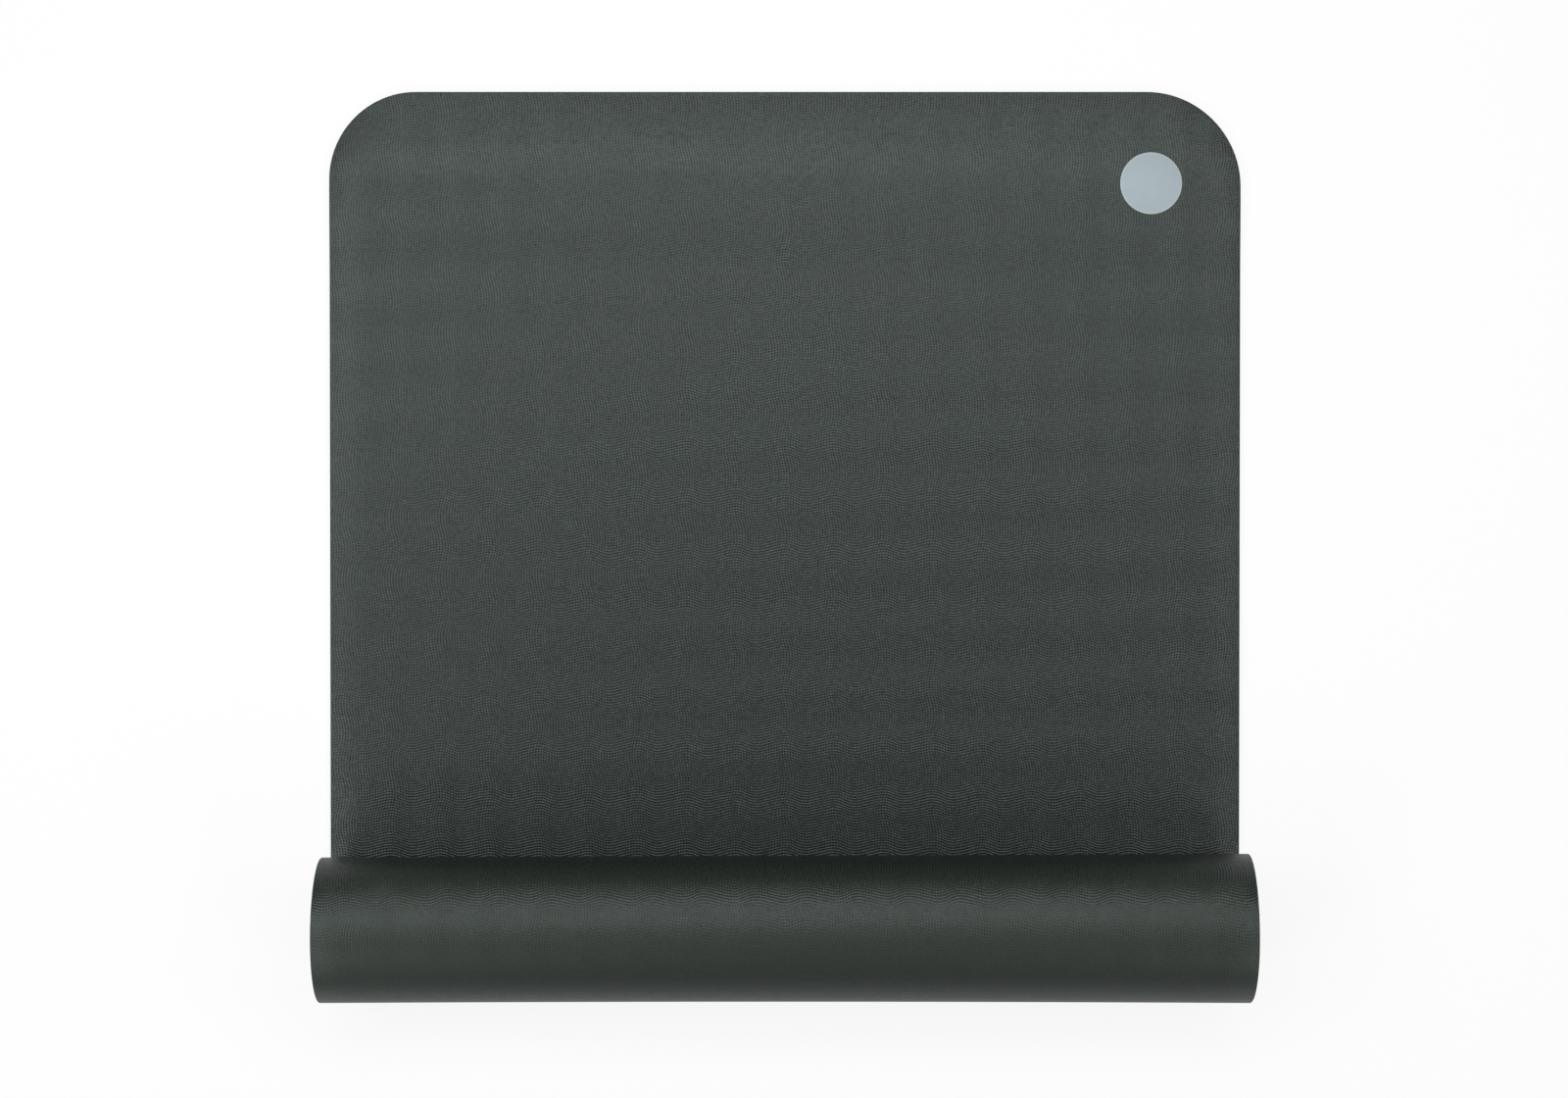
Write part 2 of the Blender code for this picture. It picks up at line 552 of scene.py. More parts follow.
@dataclass
class WoundPiece:
    """A length of the wound sheet, spun about the arcs of the winding between two angles."""

    winding: Winding
    name: str
    first_angle: float
    last_angle: float
    fine_ring: float = math.radians(0.5625)
    coarse_ring: float = math.radians(3.75)
    fine_until: float = 0.0

    def section(self) -> bpy.types.Object:
        """The sheet's cross-section at the piece's start, with rounded edges, cut into columns.

        Returns:
            The new object, which holds the cross-section.
        """
        sheet, angle = self.winding.sheet, self.first_angle
        deselect_everything()
        tilt = math.atan2(-math.cos(angle), -math.sin(angle))
        bpy.ops.mesh.primitive_plane_add(
            size=1, location=self.winding.place(angle), rotation=(tilt, 0, 0)
        )
        piece = take_added(self.name, (sheet.width, sheet.thickness, 1))
        side = sheet.width / 2 - TINY
        with editing(piece, "EDGE"):
            select_edges(piece, lambda first, second: abs(first.x - second.x) > TINY)
            bpy.ops.mesh.subdivide(number_cuts=sheet.columns - 1)
        with editing(piece):
            select_points(piece, lambda place: abs(place.x) > side)
            bpy.ops.mesh.bevel(
                offset=sheet.edge_radius, segments=sheet.edge_segments, affect="VERTICES"
            )
        return piece

    def spin(self, piece: bpy.types.Object) -> list[float]:
        """Spins the cross-section along the winding.

        Args:
            piece: The object that holds the cross-section.

        Returns:
            The angle of each ring of points, the first being the cross-section's own.
        """
        angles = [self.first_angle]
        with editing(piece, "FACE"):
            for arc, start, end in self.winding.parts(self.first_angle, self.last_angle):
                ring = self.fine_ring if start < self.fine_until - TINY else self.coarse_ring
                steps = max(round((end - start) / ring), 1)
                bpy.ops.mesh.spin(
                    steps=steps, angle=end - start, center=arc.centre, axis=(1, 0, 0)
                )
                angles += [start + (end - start) * n / steps for n in range(1, steps + 1)]
        return angles

    def store_places(self, piece: bpy.types.Object, angles: list[float]) -> None:
        """Gives each ring's points their places on the sheet, and narrows the inner corners.

        Spin appends one ring of points after another, so a point's number says its ring.

        Args:
            piece: The spun object.
            angles: The angle of each ring.
        """
        sheet = self.winding.sheet
        points = piece.data.vertices
        per_ring = len(points) // len(angles)
        places = []
        for ring, angle in enumerate(angles):
            arc = self.winding.arc_at(angle)
            along = self.winding.along_at(angle)
            share = sheet.narrowing(along)
            for point in points[ring * per_ring : (ring + 1) * per_ring]:
                out = (point.co - arc.centre).dot(outward(angle)) - arc.radius
                point.co.x *= share
                places.append((point.co.x, along, -out / sheet.half_thickness))
        store_sheet_places(piece, places)

    def build(self) -> bpy.types.Object:
        """Models the piece.

        Returns:
            The piece.
        """
        piece = self.section()
        angles = self.spin(piece)
        self.store_places(piece, angles)
        close_up(piece, self.winding.sheet.smooth_under)
        return piece


@dataclass(frozen=True)
class RollShape:
    """How the roll departs from an even winding.

    It bulges towards the flat part, more so at its right end, and its near side is a little
    hollow between its ends.
    """

    bend_line: float
    half_width: float
    radius: float
    bulge: float = 3.4 * MM
    bulge_growth: float = 1.25 * MM
    hollow: float = 0.85 * MM

    def form(self, piece: bpy.types.Object) -> None:
        """Moves a wound piece's points along Y to give the roll its shape.

        Args:
            piece: The wound piece.
        """
        for point in piece.data.vertices:
            side = point.co.x / self.half_width
            reach = (point.co.y - self.bend_line) / self.radius
            if reach > 0:
                point.co.y += reach * (self.bulge + side * self.bulge_growth)
            else:
                point.co.y -= reach * self.hollow * max(1 - side**2, 0)


@dataclass
class LayOpenHalfTurn:
    """The half turn that can be laid open: one piece for each hinge."""

    winding: Winding
    shape: RollShape
    hinges: int
    end_margin: float = 0.7 * MM

    def nodes(self, number: int) -> list[str]:
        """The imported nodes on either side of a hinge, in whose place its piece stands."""
        names = ["first_bend", *(f"outer_wrap_{n}" for n in range(1, self.hinges))]
        return names[number - 1 : number + 1]

    def build(self) -> list[bpy.types.Object]:
        """Models the pieces and hides the imported nodes that they stand in for.

        Returns:
            The pieces in order from the bend line.
        """
        turn = self.winding.section_angle
        pieces = []
        for number in range(1, self.hinges + 1):
            first, last = turn * (number - 1), turn * number
            piece = WoundPiece(
                self.winding, f"bend_{number}", first, last, fine_until=last
            ).build()
            self.shape.form(piece)
            start, end = self.winding.place(first), self.winding.place(last)
            margin = (end - start).normalized() * self.end_margin
            start + margin
            end - margin
            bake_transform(piece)
            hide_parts(*self.nodes(number))
            pieces.append(piece)
        return pieces


@dataclass
class RolledPiece:
    """All the turns that stay wound, to the mat's rounded inner end."""

    winding: Winding
    shape: RollShape
    first_angle: float
    drift: float = 1.1 * MM
    drift_start: float = 0.25
    drift_lengths: tuple[float, float] = (0.43, 0.19)

    def build(self) -> bpy.types.Object:
        """Models the piece and gives it its place on the roll's body.

        Returns:
            The piece.
        """
        piece = WoundPiece(
            self.winding,
            "rolled_part",
            self.first_angle,
            self.winding.end_angle,
            fine_until=self.first_angle + self.winding.section_angle / 2,
        ).build()
        self.shape.form(piece)
        self.shift_turns(piece)
        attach(piece, Body.ROLL.value)
        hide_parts("wound_roll")
        return piece

    def shift_turns(self, piece: bpy.types.Object) -> None:
        """Lets the inner turns stand a little out of line at the ends, as in a hand-wound roll.

        Args:
            piece: The piece.
        """
        places = piece.data.attributes["sheet"].data
        for point, place in zip(piece.data.vertices, places, strict=True):
            along = place.vector[1]
            grown = min(max(along - self.drift_start, 0) / self.drift_start, 1)
            waves = [math.sin(math.tau * along / length) for length in self.drift_lengths]
            point.co.x += self.drift * grown * (waves[0] + waves[1] / 2)


@dataclass
class RoundPrint:
    """The plain round print near a far corner, in its shallow pocket."""

    lift: FarEndLift
    sides: int = 96
    edge_radius: float = 0.1 * MM
    edge_segments: int = 2
    smooth_under: float = math.radians(50)

    def __post_init__(self) -> None:
        """Reads the print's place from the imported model."""
        self.low, self.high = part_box("round_print")
        self.centre = (self.low + self.high) / 2
        self.radius = (self.high.x - self.low.x) / 2

    def build(self) -> bpy.types.Object:
        """Models the piece and gives it its place on the mat's body.

        Returns:
            The piece.
        """
        deselect_everything()
        bpy.ops.mesh.primitive_cylinder_add(
            vertices=self.sides,
            radius=self.radius,
            depth=self.high.z - self.low.z,
            location=self.centre,
        )
        piece = take_added("round_print_inlay")
        top = self.high.z - TINY
        with editing(piece, "EDGE"):
            select_edges(piece, lambda first, second: min(first.z, second.z) > top)
            bpy.ops.mesh.bevel(
                offset=self.edge_radius, segments=self.edge_segments, affect="EDGES"
            )
            cut_up((0, 1, 0), self.lift.rows())
        close_up(piece, self.smooth_under)
        self.lift.raise_piece(piece)
        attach(piece, Body.MAT.value)
        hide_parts("round_print")
        return piece


# Shader trees


class Value:
    """A number's socket in a shader tree. Arithmetic on it adds Math nodes."""

    def __init__(self, tree: bpy.types.NodeTree, socket: bpy.types.NodeSocket) -> None:
        """Wraps a socket of a tree."""
        self.tree = tree
        self.socket = socket

    def maths(self, operation: str, *others: "Value | float", first: bool = True) -> "Value":
        """Adds a Math node.

        Args:
            operation: The node's operation, such as MULTIPLY.
            *others: The other values.
            first: Whether this value comes before the others.

        Returns:
            The node's result.
        """
        node = self.tree.nodes.new("ShaderNodeMath")
        node.operation = operation
        values = (self, *others) if first else (*others, self)
        for socket, value in zip(node.inputs, values, strict=False):
            if isinstance(value, Value):
                self.tree.links.new(value.socket, socket)
            else:
                socket.default_value = value
        return Value(self.tree, node.outputs[0])

    def __add__(self, other: "Value | float") -> "Value":
        """This value plus another."""
        return self.maths("ADD", other)

    __radd__ = __add__

    def __mul__(self, other: "Value | float") -> "Value":
        """This value times another."""
        return self.maths("MULTIPLY", other)

    __rmul__ = __mul__

    def __sub__(self, other: "Value | float") -> "Value":
        """This value less another."""
        return self.maths("SUBTRACT", other)

    def __rsub__(self, other: "Value | float") -> "Value":
        """Another value less this one."""
        return self.maths("SUBTRACT", other, first=False)

    def __abs__(self) -> "Value":
        """This value without its sign."""
        return self.maths("ABSOLUTE")

    def hypot(self, other: "Value") -> "Value":
        """The length of a vector whose two parts are this value and another."""
        return (self * self + other * other).maths("SQRT")

    def wave(self, length: float, phase: float = 0.0) -> "Value":
        """A sine from -1 to 1 that repeats at a length."""
        return (self * (math.tau / length) + phase).maths("SINE")

    def step(self, low: float, high: float) -> "Value":
        """A smooth step from 0 to 1 between two values.

        Args:
            low: Where the result is 0. It may be the greater of the two.
            high: Where the result is 1.

        Returns:
            The result.
        """
        node = self.tree.nodes.new("ShaderNodeMapRange")
        node.interpolation_type = "SMOOTHSTEP"
        self.tree.links.new(self.socket, node.inputs["Value"])
        swapped = low > high
        node.inputs["From Min"].default_value = min(low, high)
        node.inputs["From Max"].default_value = max(low, high)
        node.inputs["To Min"].default_value = float(swapped)
        node.inputs["To Max"].default_value = float(not swapped)
        return Value(self.tree, node.outputs["Result"])


Colour = tuple[float, float, float]


@dataclass(frozen=True)
class Cloud:
    """A layer of noise about 0.

    Attributes:
        scale: How many features there are in a metre.
        strength: What the noise is multiplied by.
        detail: How many finer layers it has.
        rough: How strong each finer layer is.
    """

    scale: float
    strength: float = 1.0
    detail: float = 2.0
    rough: float = 0.5


class Finish:
    """A material or a world, and the means to add nodes to it."""

    def __init__(self, owner: bpy.types.Material | bpy.types.World) -> None:
        """Empties the owner's shader tree.

        Args:
            owner: The material or world.
        """
        self.owner = owner
        owner.use_nodes = True
        self.tree = owner.node_tree
        self.tree.nodes.clear()

    def add(
        self,
        kind: str,
        settings: dict[str, Any] | None = None,
        sockets: dict[str | int, Any] | None = None,
    ) -> bpy.types.Node:
        """Adds a node.

        Args:
            kind: The node's type.
            settings: The node's own properties, which are set first.
            sockets: A value, a Value or another socket for each input, by name or number.

        Returns:
            The node.
        """
        node = self.tree.nodes.new(kind)
        for name, setting in (settings or {}).items():
            setattr(node, name, setting)
        for name, value in (sockets or {}).items():
            source = value.socket if isinstance(value, Value) else value
            if isinstance(source, bpy.types.NodeSocket):
                self.tree.links.new(source, node.inputs[name])
            else:
                node.inputs[name].default_value = source
        return node

    def value(self, node: bpy.types.Node, output: str | int = 0) -> Value:
        """One output of a node, ready for arithmetic."""
        return Value(self.tree, node.outputs[output])

    def noise(self, place: bpy.types.NodeSocket, cloud: Cloud) -> Value:
        """A layer of noise, read at a vector.

        Args:
            place: The vector's socket.
            cloud: The layer.

        Returns:
            The noise, from minus its strength to its strength or so.
        """
        sockets = {
            "Vector": place,
            "Scale": cloud.scale,
            "Detail": cloud.detail,
            "Roughness": cloud.rough,
        }
        node = self.add("ShaderNodeTexNoise", {"noise_dimensions": "3D"}, sockets)
        return (self.value(node, "Fac") - 0.5) * (2 * cloud.strength)

    def mix_colour(self, factor: Value, first: Any, second: Any) -> bpy.types.NodeSocket:
        """Adds a mix of two colours.

        Args:
            factor: 0 for the first colour and 1 for the second.
            first: A colour or a colour's socket.
            second: A colour or a colour's socket.

        Returns:
            The mixed colour's socket.
        """
        colours = [(*c, 1) if isinstance(c, tuple) else c for c in (first, second)]
        sockets = {"Factor": factor, 6: colours[0], 7: colours[1]}
        return self.add("ShaderNodeMix", {"data_type": "RGBA"}, sockets).outputs[2]

    def scale(self, colour: bpy.types.NodeSocket, tone: Value) -> bpy.types.NodeSocket:
        """A colour made lighter or darker by a tone."""
        sockets = {0: colour, "Scale": tone}
        return self.add("ShaderNodeVectorMath", {"operation": "SCALE"}, sockets).outputs[0]

    def bump(self, height: Value) -> bpy.types.NodeSocket:
        """The normal of a surface with this relief in metres."""
        sockets = {"Strength": 1.0, "Distance": 1.0, "Height": height}
        return self.add("ShaderNodeBump", None, sockets).outputs[0]

    def principled(self, sockets: dict[str | int, Any]) -> bpy.types.Node:
        """Adds a principled shader."""
        return self.add("ShaderNodeBsdfPrincipled", None, sockets)

    def mix_shaders(
        self, factor: Value, first: bpy.types.Node, second: bpy.types.Node
    ) -> bpy.types.Node:
        """Adds a mix of two shaders, the first at 0 and the second at 1."""
        sockets = {0: factor, 1: first.outputs[0], 2: second.outputs[0]}
        return self.add("ShaderNodeMixShader", None, sockets)

    def shade(self, shader: bpy.types.Node) -> bpy.types.Material:
        """Ends the material with a shader."""
        self.add("ShaderNodeOutputMaterial", None, {"Surface": shader.outputs[0]})
        return self.owner


class SheetPlace:
    """The place on the sheet that a shader tree reads, as Values.

    Attributes:
        across: The place across the mat.
        along: The place along it from the bend line.
        depth: The depth in it, from -1 on the underside to +1 on the working face.
        surface: The place across and along as a vector's socket.
        skin: 1 on the two faces and 0 on the cut edge between them.
        core: The opposite of skin.
    """

    def __init__(self, finish: Finish, skin_depth: tuple[float, float]) -> None:
        """Reads the place.

        Args:
            finish: The material that the nodes go into.
            skin_depth: The depths between which the cut edge turns into a face.
        """
        read = finish.add("ShaderNodeAttribute", {"attribute_name": "sheet"})
        parts = finish.add("ShaderNodeSeparateXYZ", None, {0: read.outputs["Vector"]})
        self.across, self.along, self.depth = (finish.value(parts, axis) for axis in "XYZ")
        flat = finish.add("ShaderNodeCombineXYZ", None, {"X": self.across, "Y": self.along})
        self.surface = flat.outputs[0]
        self.skin = abs(self.depth).step(*skin_depth)
        self.core = 1 - self.skin


@dataclass(frozen=True)
class Ribs:
    """One of the two sets of ribs in the grain.

    Attributes:
        pitch: The distance from crest to crest.
        height: How far a crest stands above the middle and a gap lies below it.
        crest: How much the set counts in the painted shade, lighter and shinier on a crest.
        bend_length: The length of the long wave that the ribs run in.
        bend_height: How far that wave moves them to either side.
    """

    pitch: float
    height: float
    crest: float
    bend_length: float
    bend_height: float


@dataclass(frozen=True)
class Grain:
    """What the grain is at a place.

    Attributes:
        height: Its height in metres.
        crests: About -1 in a gap and 1 on a crest; it sets the painted shade of the grain.
        left: How much of it isn't worn off, from 0 to 1.
    """

    height: Value
    crests: Value
    left: Value


@dataclass(frozen=True)
class RubberFinish:
    """Moulded natural rubber with a fine grain of crossing wavy ribs and a speckle.

    The rows run across the mat and the columns along it. A field that ends in tone is the share
    by which the colour grows lighter, and one that ends in polish or dullness is taken off the
    roughness or added to it. Painted shade darkens the gaps of the grain, the hollows between
    the swells and the pores of the cut edge.
    """

    sheet: Sheet

    # The plain rubber
    working_face: Colour = (0.0118, 0.0150, 0.0134)
    underside: Colour = (0.0118, 0.0146, 0.0116)
    core: Colour = (0.018, 0.022, 0.020)
    roughness: float = 0.38
    core_dullness: float = 0.2
    specular: float = 0.76
    specular_tint: Colour = (0.87, 1.0, 0.95)
    skin_depth: tuple[float, float] = (0.55, 0.85)
    mottle: Cloud = Cloud(5.0, strength=0.03, detail=4.0, rough=0.6)
    patches: Cloud = Cloud(120.0, rough=0.6)
    patch_tone: float = 0.15
    patch_polish: float = 0.05

    # The grain
    rows: Ribs = Ribs(1.78 * MM, 0.040 * MM, 0.34, 32.5 * MM, 1.7 * MM)
    columns: Ribs = Ribs(1.83 * MM, 0.045 * MM, 0.58, 40.5 * MM, 1.5 * MM)
    row_phase: float = 1.8
    row_overtone: float = 0.15
    column_slant: float = 0.03
    wander: Cloud = Cloud(9.0, strength=1.2 * MM)
    fine_wander: Cloud = Cloud(70.0, strength=0.5 * MM)
    speckle: Cloud = Cloud(350.0, detail=3.0, rough=0.9)
    speckle_height: float = 0.06 * MM
    speckle_crest: float = 1.4
    swell: float = 0.07 * MM
    # Painted shade along the long waves: lighter on the swells, darker between them
    swell_shade_tone: float = 0.02
    # Painted shade in the grain: the colour lighter on the crests and darker in the gaps
    rib_shade_tone: float = 0.6
    # Painted shade in the gaps too: a dull shader with little specular is mixed in there
    gap_shade_share: float = 0.3
    gap_shade_specular: float = 0.1
    gap_roughness: float = 0.7

    # Where the grain is uneven, grown or worn
    balance: Cloud = Cloud(45.0)
    balance_bands: float = 0.4
    balance_phase: float = 1.0
    balance_change: float = 0.35
    breaks: Cloud = Cloud(190.0, detail=1.0)
    break_span: tuple[float, float] = (-0.4, 0.3)
    break_middle: float = 0.6
    break_change: float = 0.3
    growth_span: tuple[float, float] = (-350 * MM, -50 * MM)
    row_growth: float = 0.5
    wear_start: tuple[float, float] = (20 * MM, 80 * MM)
    wear_end: tuple[float, float] = (120 * MM, 186 * MM)
    roll_wear: float = 0.5
    wear_dullness: float = 0.3

    # Handling near the edges, by the distance from them
    rim_span: tuple[float, float] = (24 * MM, 6 * MM)
    rim_dullness: float = 0.11
    behind_span: tuple[float, float] = (85 * MM, 50 * MM)
    side_span: tuple[float, float] = (30 * MM, 4 * MM)
    side_share: float = 0.6
    edge_polish: float = 0.04

    # The pores of the cut edge
    pore_scale: float = 1600.0
    pore_span: tuple[float, float] = (0.1, 0.5)
    # Painted shade in the pores: the cut edge is lighter between them
    pore_shade_tone: float = 0.3
    pore_depth: float = 0.12 * MM

    def material(self) -> bpy.types.Material:
        """Builds the material: a sheen on the crests and a duller one in the gaps, as painted
        shade.

        Returns:
            The material.
        """
        finish = Finish(bpy.data.materials.new("mat rubber"))
        place = SheetPlace(finish, self.skin_depth)
        waves = self.waves(place)
        swells = (waves[0] + waves[1]) * place.skin
        grain = self.grain(finish, place, *waves)
        crests = grain.crests * place.skin
        pores = self.pores(finish) * place.core
        patches = finish.noise(place.surface, self.patches) * place.skin

        height = grain.height * place.skin + pores * self.pore_depth + swells * self.swell
        # Painted shade: darker in the grain's gaps, between the swells and in the cut edge's pores
        tone = 1 + crests * self.rib_shade_tone + pores * self.pore_shade_tone
        tone = tone + patches * self.patch_tone + swells * self.swell_shade_tone
        tone = tone + finish.noise(place.surface, self.mottle)
        top = place.depth.step(-0.1, 0.1)
        faces = finish.mix_colour(top, self.underside, self.working_face)
        plain = finish.mix_colour(place.skin, self.core, faces)
        look = {
            "Base Color": finish.scale(plain, tone),
            "Specular Tint": (*self.specular_tint, 1),
            "Normal": finish.bump(height),
        }
        roughness = self.roughness + (1 - grain.left) * self.wear_dullness
        roughness = roughness - patches * self.patch_polish - self.polish(place) * place.skin
        roughness = roughness + place.core * self.core_dullness
        crest, gap = (
            finish.principled({**look, "Roughness": rough, "Specular IOR Level": level})
            for rough, level in (
                (roughness, self.specular),
                (self.gap_roughness, self.gap_shade_specular),
            )
        )
        # The dull shader mixed into the gaps is painted shade.
        share = (1 - crests) * grain.left * place.skin * self.gap_shade_share
        return finish.shade(finish.mix_shaders(share, crest, gap))

    def waves(self, place: SheetPlace) -> tuple[Value, Value]:
        """The long waves that bend the rows and the columns, each from about -1 to 1.

        Args:
            place: The place on the sheet.

        Returns:
            The waves of the rows and of the columns.
        """
        length = self.rows.bend_length
        overtone = place.across.wave(length / 2, 2 * self.row_phase)
        row_wave = place.across.wave(length, self.row_phase) - self.row_overtone * overtone
        slanted = place.along + place.across * self.column_slant
        return row_wave, slanted.wave(self.columns.bend_length)

    def grain(
        self, finish: Finish, place: SheetPlace, row_wave: Value, column_wave: Value
    ) -> Grain:
        """The ribs and the speckle, with deeper rows near the roll, and worn on its outside.

        Args:
            finish: The material that the nodes go into.
            place: The place on the sheet.
            row_wave: The wave that bends the rows.
            column_wave: The wave that bends the columns.

        Returns:
            The grain.
        """
        along, surface = place.along, place.surface
        wander = finish.noise(surface, self.wander) + finish.noise(surface, self.fine_wander)
        row_place = along + row_wave * self.rows.bend_height + wander
        column_place = place.across + column_wave * self.columns.bend_height + wander

        bands = along.wave(self.columns.bend_length, self.balance_phase) * self.balance_bands
        balance = (finish.noise(surface, self.balance) + bands).step(-0.5, 0.5) - 0.5
        balance = balance * self.balance_change
        breaks = finish.noise(surface, self.breaks).step(*self.break_span) - self.break_middle
        breaks = breaks * self.break_change
        rows = row_place.wave(self.rows.pitch) * (1 + balance) * (1 + breaks)
        columns = column_place.wave(self.columns.pitch) * (1 - balance) * (1 + breaks)

        deep = 1 + along.step(*self.growth_span) * self.row_growth
        worn = along.step(*self.wear_start) - along.step(*self.wear_end)
        left = 1 - worn * self.roll_wear
        speckle = finish.noise(surface, self.speckle)
        height = rows * deep * self.rows.height + columns * self.columns.height
        height = height + speckle * self.speckle_height
        crests = rows * self.rows.crest + columns * self.columns.crest
        crests = crests + speckle * self.speckle_crest
        return Grain(height * left, crests * left, left)

    def polish(self, place: SheetPlace) -> Value:
        """How much smoother the face is than elsewhere, with handling near the mat's edges.

        Args:
            place: The place on the sheet.

        Returns:
            The amount to take off the roughness: less than 0 along the rounded far edge, and
            more than 0 a hand's breadth behind it and along the sides.
        """
        half_width, radius = self.sheet.width / 2, self.sheet.corner_radius
        flat_length = self.sheet.flat_length
        past_side = (abs(place.across) - (half_width - radius)).maths("MAXIMUM", 0.0)
        past_end = (0 - place.along - (flat_length - radius)).maths("MAXIMUM", 0.0)
        inward = radius - past_side.hypot(past_end)
        rim = inward.step(*self.rim_span) * past_end.step(0.0, radius / 3)
        behind = (0 - place.along).step(*(flat_length - span for span in self.behind_span))
        sides = abs(place.across).step(*(half_width - span for span in self.side_span))
        return (behind + sides * self.side_share) * self.edge_polish - rim * self.rim_dullness

    def pores(self, finish: Finish) -> Value:
        """The fine open pores of a cut edge, from 0 in a pore to 1.

        Args:
            finish: The material that the nodes go into.

        Returns:
            The pores.
        """
        place = finish.add("ShaderNodeTexCoord").outputs["Object"]
        sockets = {"Vector": place, "Scale": self.pore_scale}
        node = finish.add("ShaderNodeTexVoronoi", {"voronoi_dimensions": "3D"}, sockets)
        return finish.value(node, "Distance").step(*self.pore_span)


@dataclass(frozen=True)
class PrintFinish:
    """A smooth pale blue-grey print, a little lighter round its rim and faintly cloudy."""

    colour: Colour = (0.348, 0.415, 0.445)
    rim: Colour = (0.43, 0.495, 0.515)
    rim_width: float = 1.6 * MM
    rim_share: float = 0.8
    roughness: float = 0.5
    specular: float = 0.4
    cloud: Cloud = Cloud(180.0, detail=3.0)
    cloud_tone: float = 0.05
    cloud_dullness: float = 0.06
    fine: Cloud = Cloud(900.0)
    fine_tone: float = 0.03
    relief: float = 0.02 * MM

    def material(self, centre: Vector, radius: float) -> bpy.types.Material:
        """Builds the material.

        Args:
            centre: The middle of the print.
            radius: The print's radius.

        Returns:
            The material.
        """
        finish = Finish(bpy.data.materials.new("print"))
        place = finish.add("ShaderNodeTexCoord").outputs["Object"]
        parts = finish.add("ShaderNodeSeparateXYZ", None, {0: place})
        reach = (finish.value(parts, "X") - centre.x).hypot(finish.value(parts, "Y") - centre.y)
        rim = reach.step(radius - self.rim_width, radius - self.rim_width / 3)
        cloud = finish.noise(place, self.cloud)
        fine = finish.noise(place, self.fine)
        colour = finish.mix_colour(rim * self.rim_share, self.colour, self.rim)
        tone = 1 + cloud * self.cloud_tone + fine * self.fine_tone
        look = {
            "Base Color": finish.scale(colour, tone),
            "Roughness": self.roughness + cloud * self.cloud_dullness,
            "Specular IOR Level": self.specular,
            "Normal": finish.bump((fine + cloud) * self.relief),
        }
        return finish.shade(finish.principled(look))


# Studio


@dataclass
class Lamp:
    """A soft rectangular lamp that shines on the middle of the mat, at aim along Y."""

    name: str
    place: tuple[float, float]
    aim: float
    size: tuple[float, float]
    power: float
    height: float = 1.15

    def build(self) -> None:
        """Adds the lamp."""
        data = bpy.data.lights.new(self.name, "AREA")
        data.shape = "RECTANGLE"
        data.size, data.size_y = self.size
        data.energy = self.power
        lamp = bpy.data.objects.new(self.name, data)
        lamp.location = (*self.place, self.height)
        away = lamp.location - Vector((0, self.aim, 0))
        lamp.rotation_euler = away.to_track_quat("Z", "Y").to_euler()
        lamp.visible_camera = False
        bpy.context.scene.collection.objects.link(lamp)


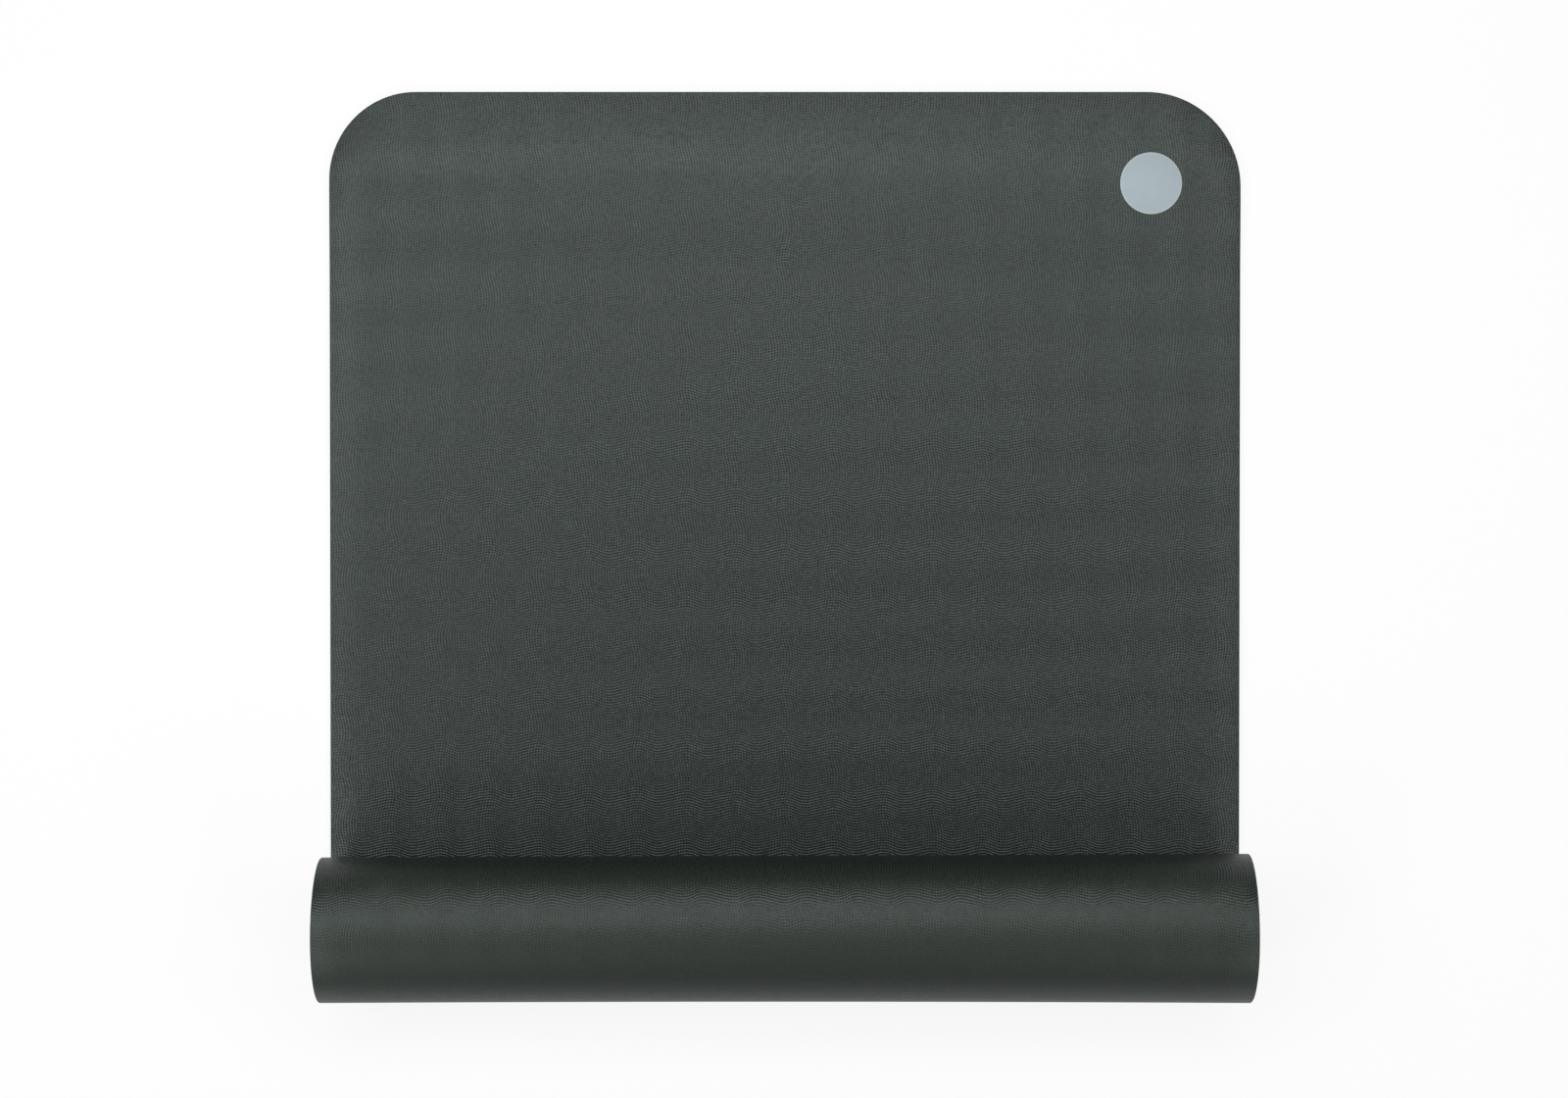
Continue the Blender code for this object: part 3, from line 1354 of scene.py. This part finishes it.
@dataclass
class Studio:
    """The camera straight above the mat, the lamps, the world and the white floor."""

    camera_place: tuple[float, float, float] = (-0.0006, 0.0224, 2.019)
    camera_tilt: float = math.radians(-0.756)
    focal_pixels: float = 3118.0
    sensor: float = 36.0
    clip: tuple[float, float] = (0.05, 50.0)
    floor_size: float = 14.0
    floor_gap: float = 0.05 * MM
    floor_grey: float = 0.92
    ambient: float = 0.072
    horizon: float = 0.86
    floor_white: float = 0.85
    floor_sheen: float = 0.65
    lamps: tuple[Lamp, ...] = (
        Lamp("overhead", (0.0, 0.48), 0.14, (1.4, 0.4), 7.3),
        Lamp("middle", (0.0, -0.12), -0.1, (1.4, 0.3), 0.62),
        Lamp("far_side", (0.0, 1.25), 0.38, (1.4, 0.4), 3.2),
        Lamp("left", (-1.0, 0.15), 0.05, (0.5, 0.5), 3.9),
        Lamp("left_middle", (-1.0, -0.15), -0.1, (0.5, 0.5), 2.2),
        Lamp("right", (1.0, 0.15), 0.05, (0.5, 0.5), 2.2),
        Lamp("right_middle", (1.0, -0.15), -0.1, (0.5, 0.5), 1.8),
        Lamp("near_left", (-1.05, -1.25), -0.36, (0.8, 0.8), 9.2),
        Lamp("near_right", (1.05, -1.25), -0.36, (0.8, 0.8), 6.3),
    )

    def build(self) -> None:
        """Builds everything round the mat."""
        self.build_camera()
        self.build_floor()
        self.build_world()
        for lamp in self.lamps:
            lamp.build()

    def build_camera(self) -> None:
        """Puts the camera where the photograph was taken from."""
        data = bpy.data.cameras.new("camera")
        data.sensor_fit = "HORIZONTAL"
        data.sensor_width = self.sensor
        data.lens = self.focal_pixels * self.sensor / PHOTO_SIZE[0]
        data.clip_start, data.clip_end = self.clip
        camera = bpy.data.objects.new("camera", data)
        camera.location = self.camera_place
        camera.rotation_euler = (self.camera_tilt, 0, 0)
        bpy.context.scene.collection.objects.link(camera)
        bpy.context.scene.camera = camera

    def build_floor(self) -> None:
        """Lays the pale floor, which is white to the camera but keeps the mat's soft shadow."""
        deselect_everything()
        bpy.ops.mesh.primitive_plane_add(size=self.floor_size, location=(0, 0, -self.floor_gap))
        floor = take_added("floor")
        finish = Finish(bpy.data.materials.new("white floor"))
        paths = finish.add("ShaderNodeLightPath")
        reflected = finish.value(paths, "Is Glossy Ray").maths(
            "MAXIMUM", finish.value(paths, "Is Transmission Ray")
        )
        seen = (reflected * self.floor_sheen).maths(
            "MAXIMUM", finish.value(paths, "Is Camera Ray") * self.floor_white
        )
        grey = (self.floor_grey,) * 3
        lit = finish.add("ShaderNodeBsdfDiffuse", None, {"Color": (*grey, 1)})
        white = finish.add("ShaderNodeEmission", None, {"Strength": 1.0})
        floor.data.materials.append(finish.shade(finish.mix_shaders(seen, lit, white)))

    def build_world(self) -> None:
        """A dim white surround, which the camera sees as pale as the floor's far end."""
        surround = Finish(bpy.data.worlds.new("surround"))
        seen = surround.value(surround.add("ShaderNodeLightPath"), "Is Camera Ray")
        strength = seen * (self.horizon - self.ambient) + self.ambient
        sockets = {"Color": (1, 1, 1, 1), "Strength": strength}
        background = surround.add("ShaderNodeBackground", None, sockets)
        surround.add("ShaderNodeOutputWorld", None, {"Surface": background.outputs[0]})
        bpy.context.scene.world = surround.owner


def dress(piece: bpy.types.Object, material: bpy.types.Material, slot: Slot) -> None:
    """Gives a piece its material, and reports it with the record's slot.

    Args:
        piece: The finished piece.
        material: The material that covers it.
        slot: The record's slot that the material stands for, which is reported.
    """
    piece.data.materials.clear()
    piece.data.materials.append(material)
    LOG.info("%s: %d faces, slot %s", piece.name, len(piece.data.polygons), slot.value)


def main() -> None:
    """Builds the mat, dresses it and sets up the studio."""
    logging.basicConfig(level=logging.INFO, format="%(message)s")
    sheet = Sheet.from_frame()
    winding = Winding(sheet)
    hinges = len(frame["joints"])

    lift = FarEndLift(sheet.far_edge)
    shape = RollShape(sheet.bend_line, sheet.width / 2, winding.roll_radius - sheet.half_thickness)
    print_piece = RoundPrint(lift)
    print_inlay = print_piece.build()
    flat = FlatPiece(
        sheet,
        lift,
        pocket_centre=print_piece.centre,
        pocket_radius=print_piece.radius + CLEARANCE / 2,
        pocket_depth=sheet.thickness - print_piece.low.z + CLEARANCE / 2,
    ).build()
    bends = LayOpenHalfTurn(winding, shape, hinges).build()
    rolled = RolledPiece(winding, shape, winding.section_angle * hinges).build()

    rubber = RubberFinish(sheet).material()
    for piece in (flat, *bends, rolled):
        dress(piece, rubber, Slot.RUBBER)
    pale = PrintFinish().material(print_piece.centre, print_piece.radius)
    dress(print_inlay, pale, Slot.PRINT)

    Studio().build()
    bpy.context.scene.view_settings.view_transform = "Standard"


if __name__ == "__main__":
    main()
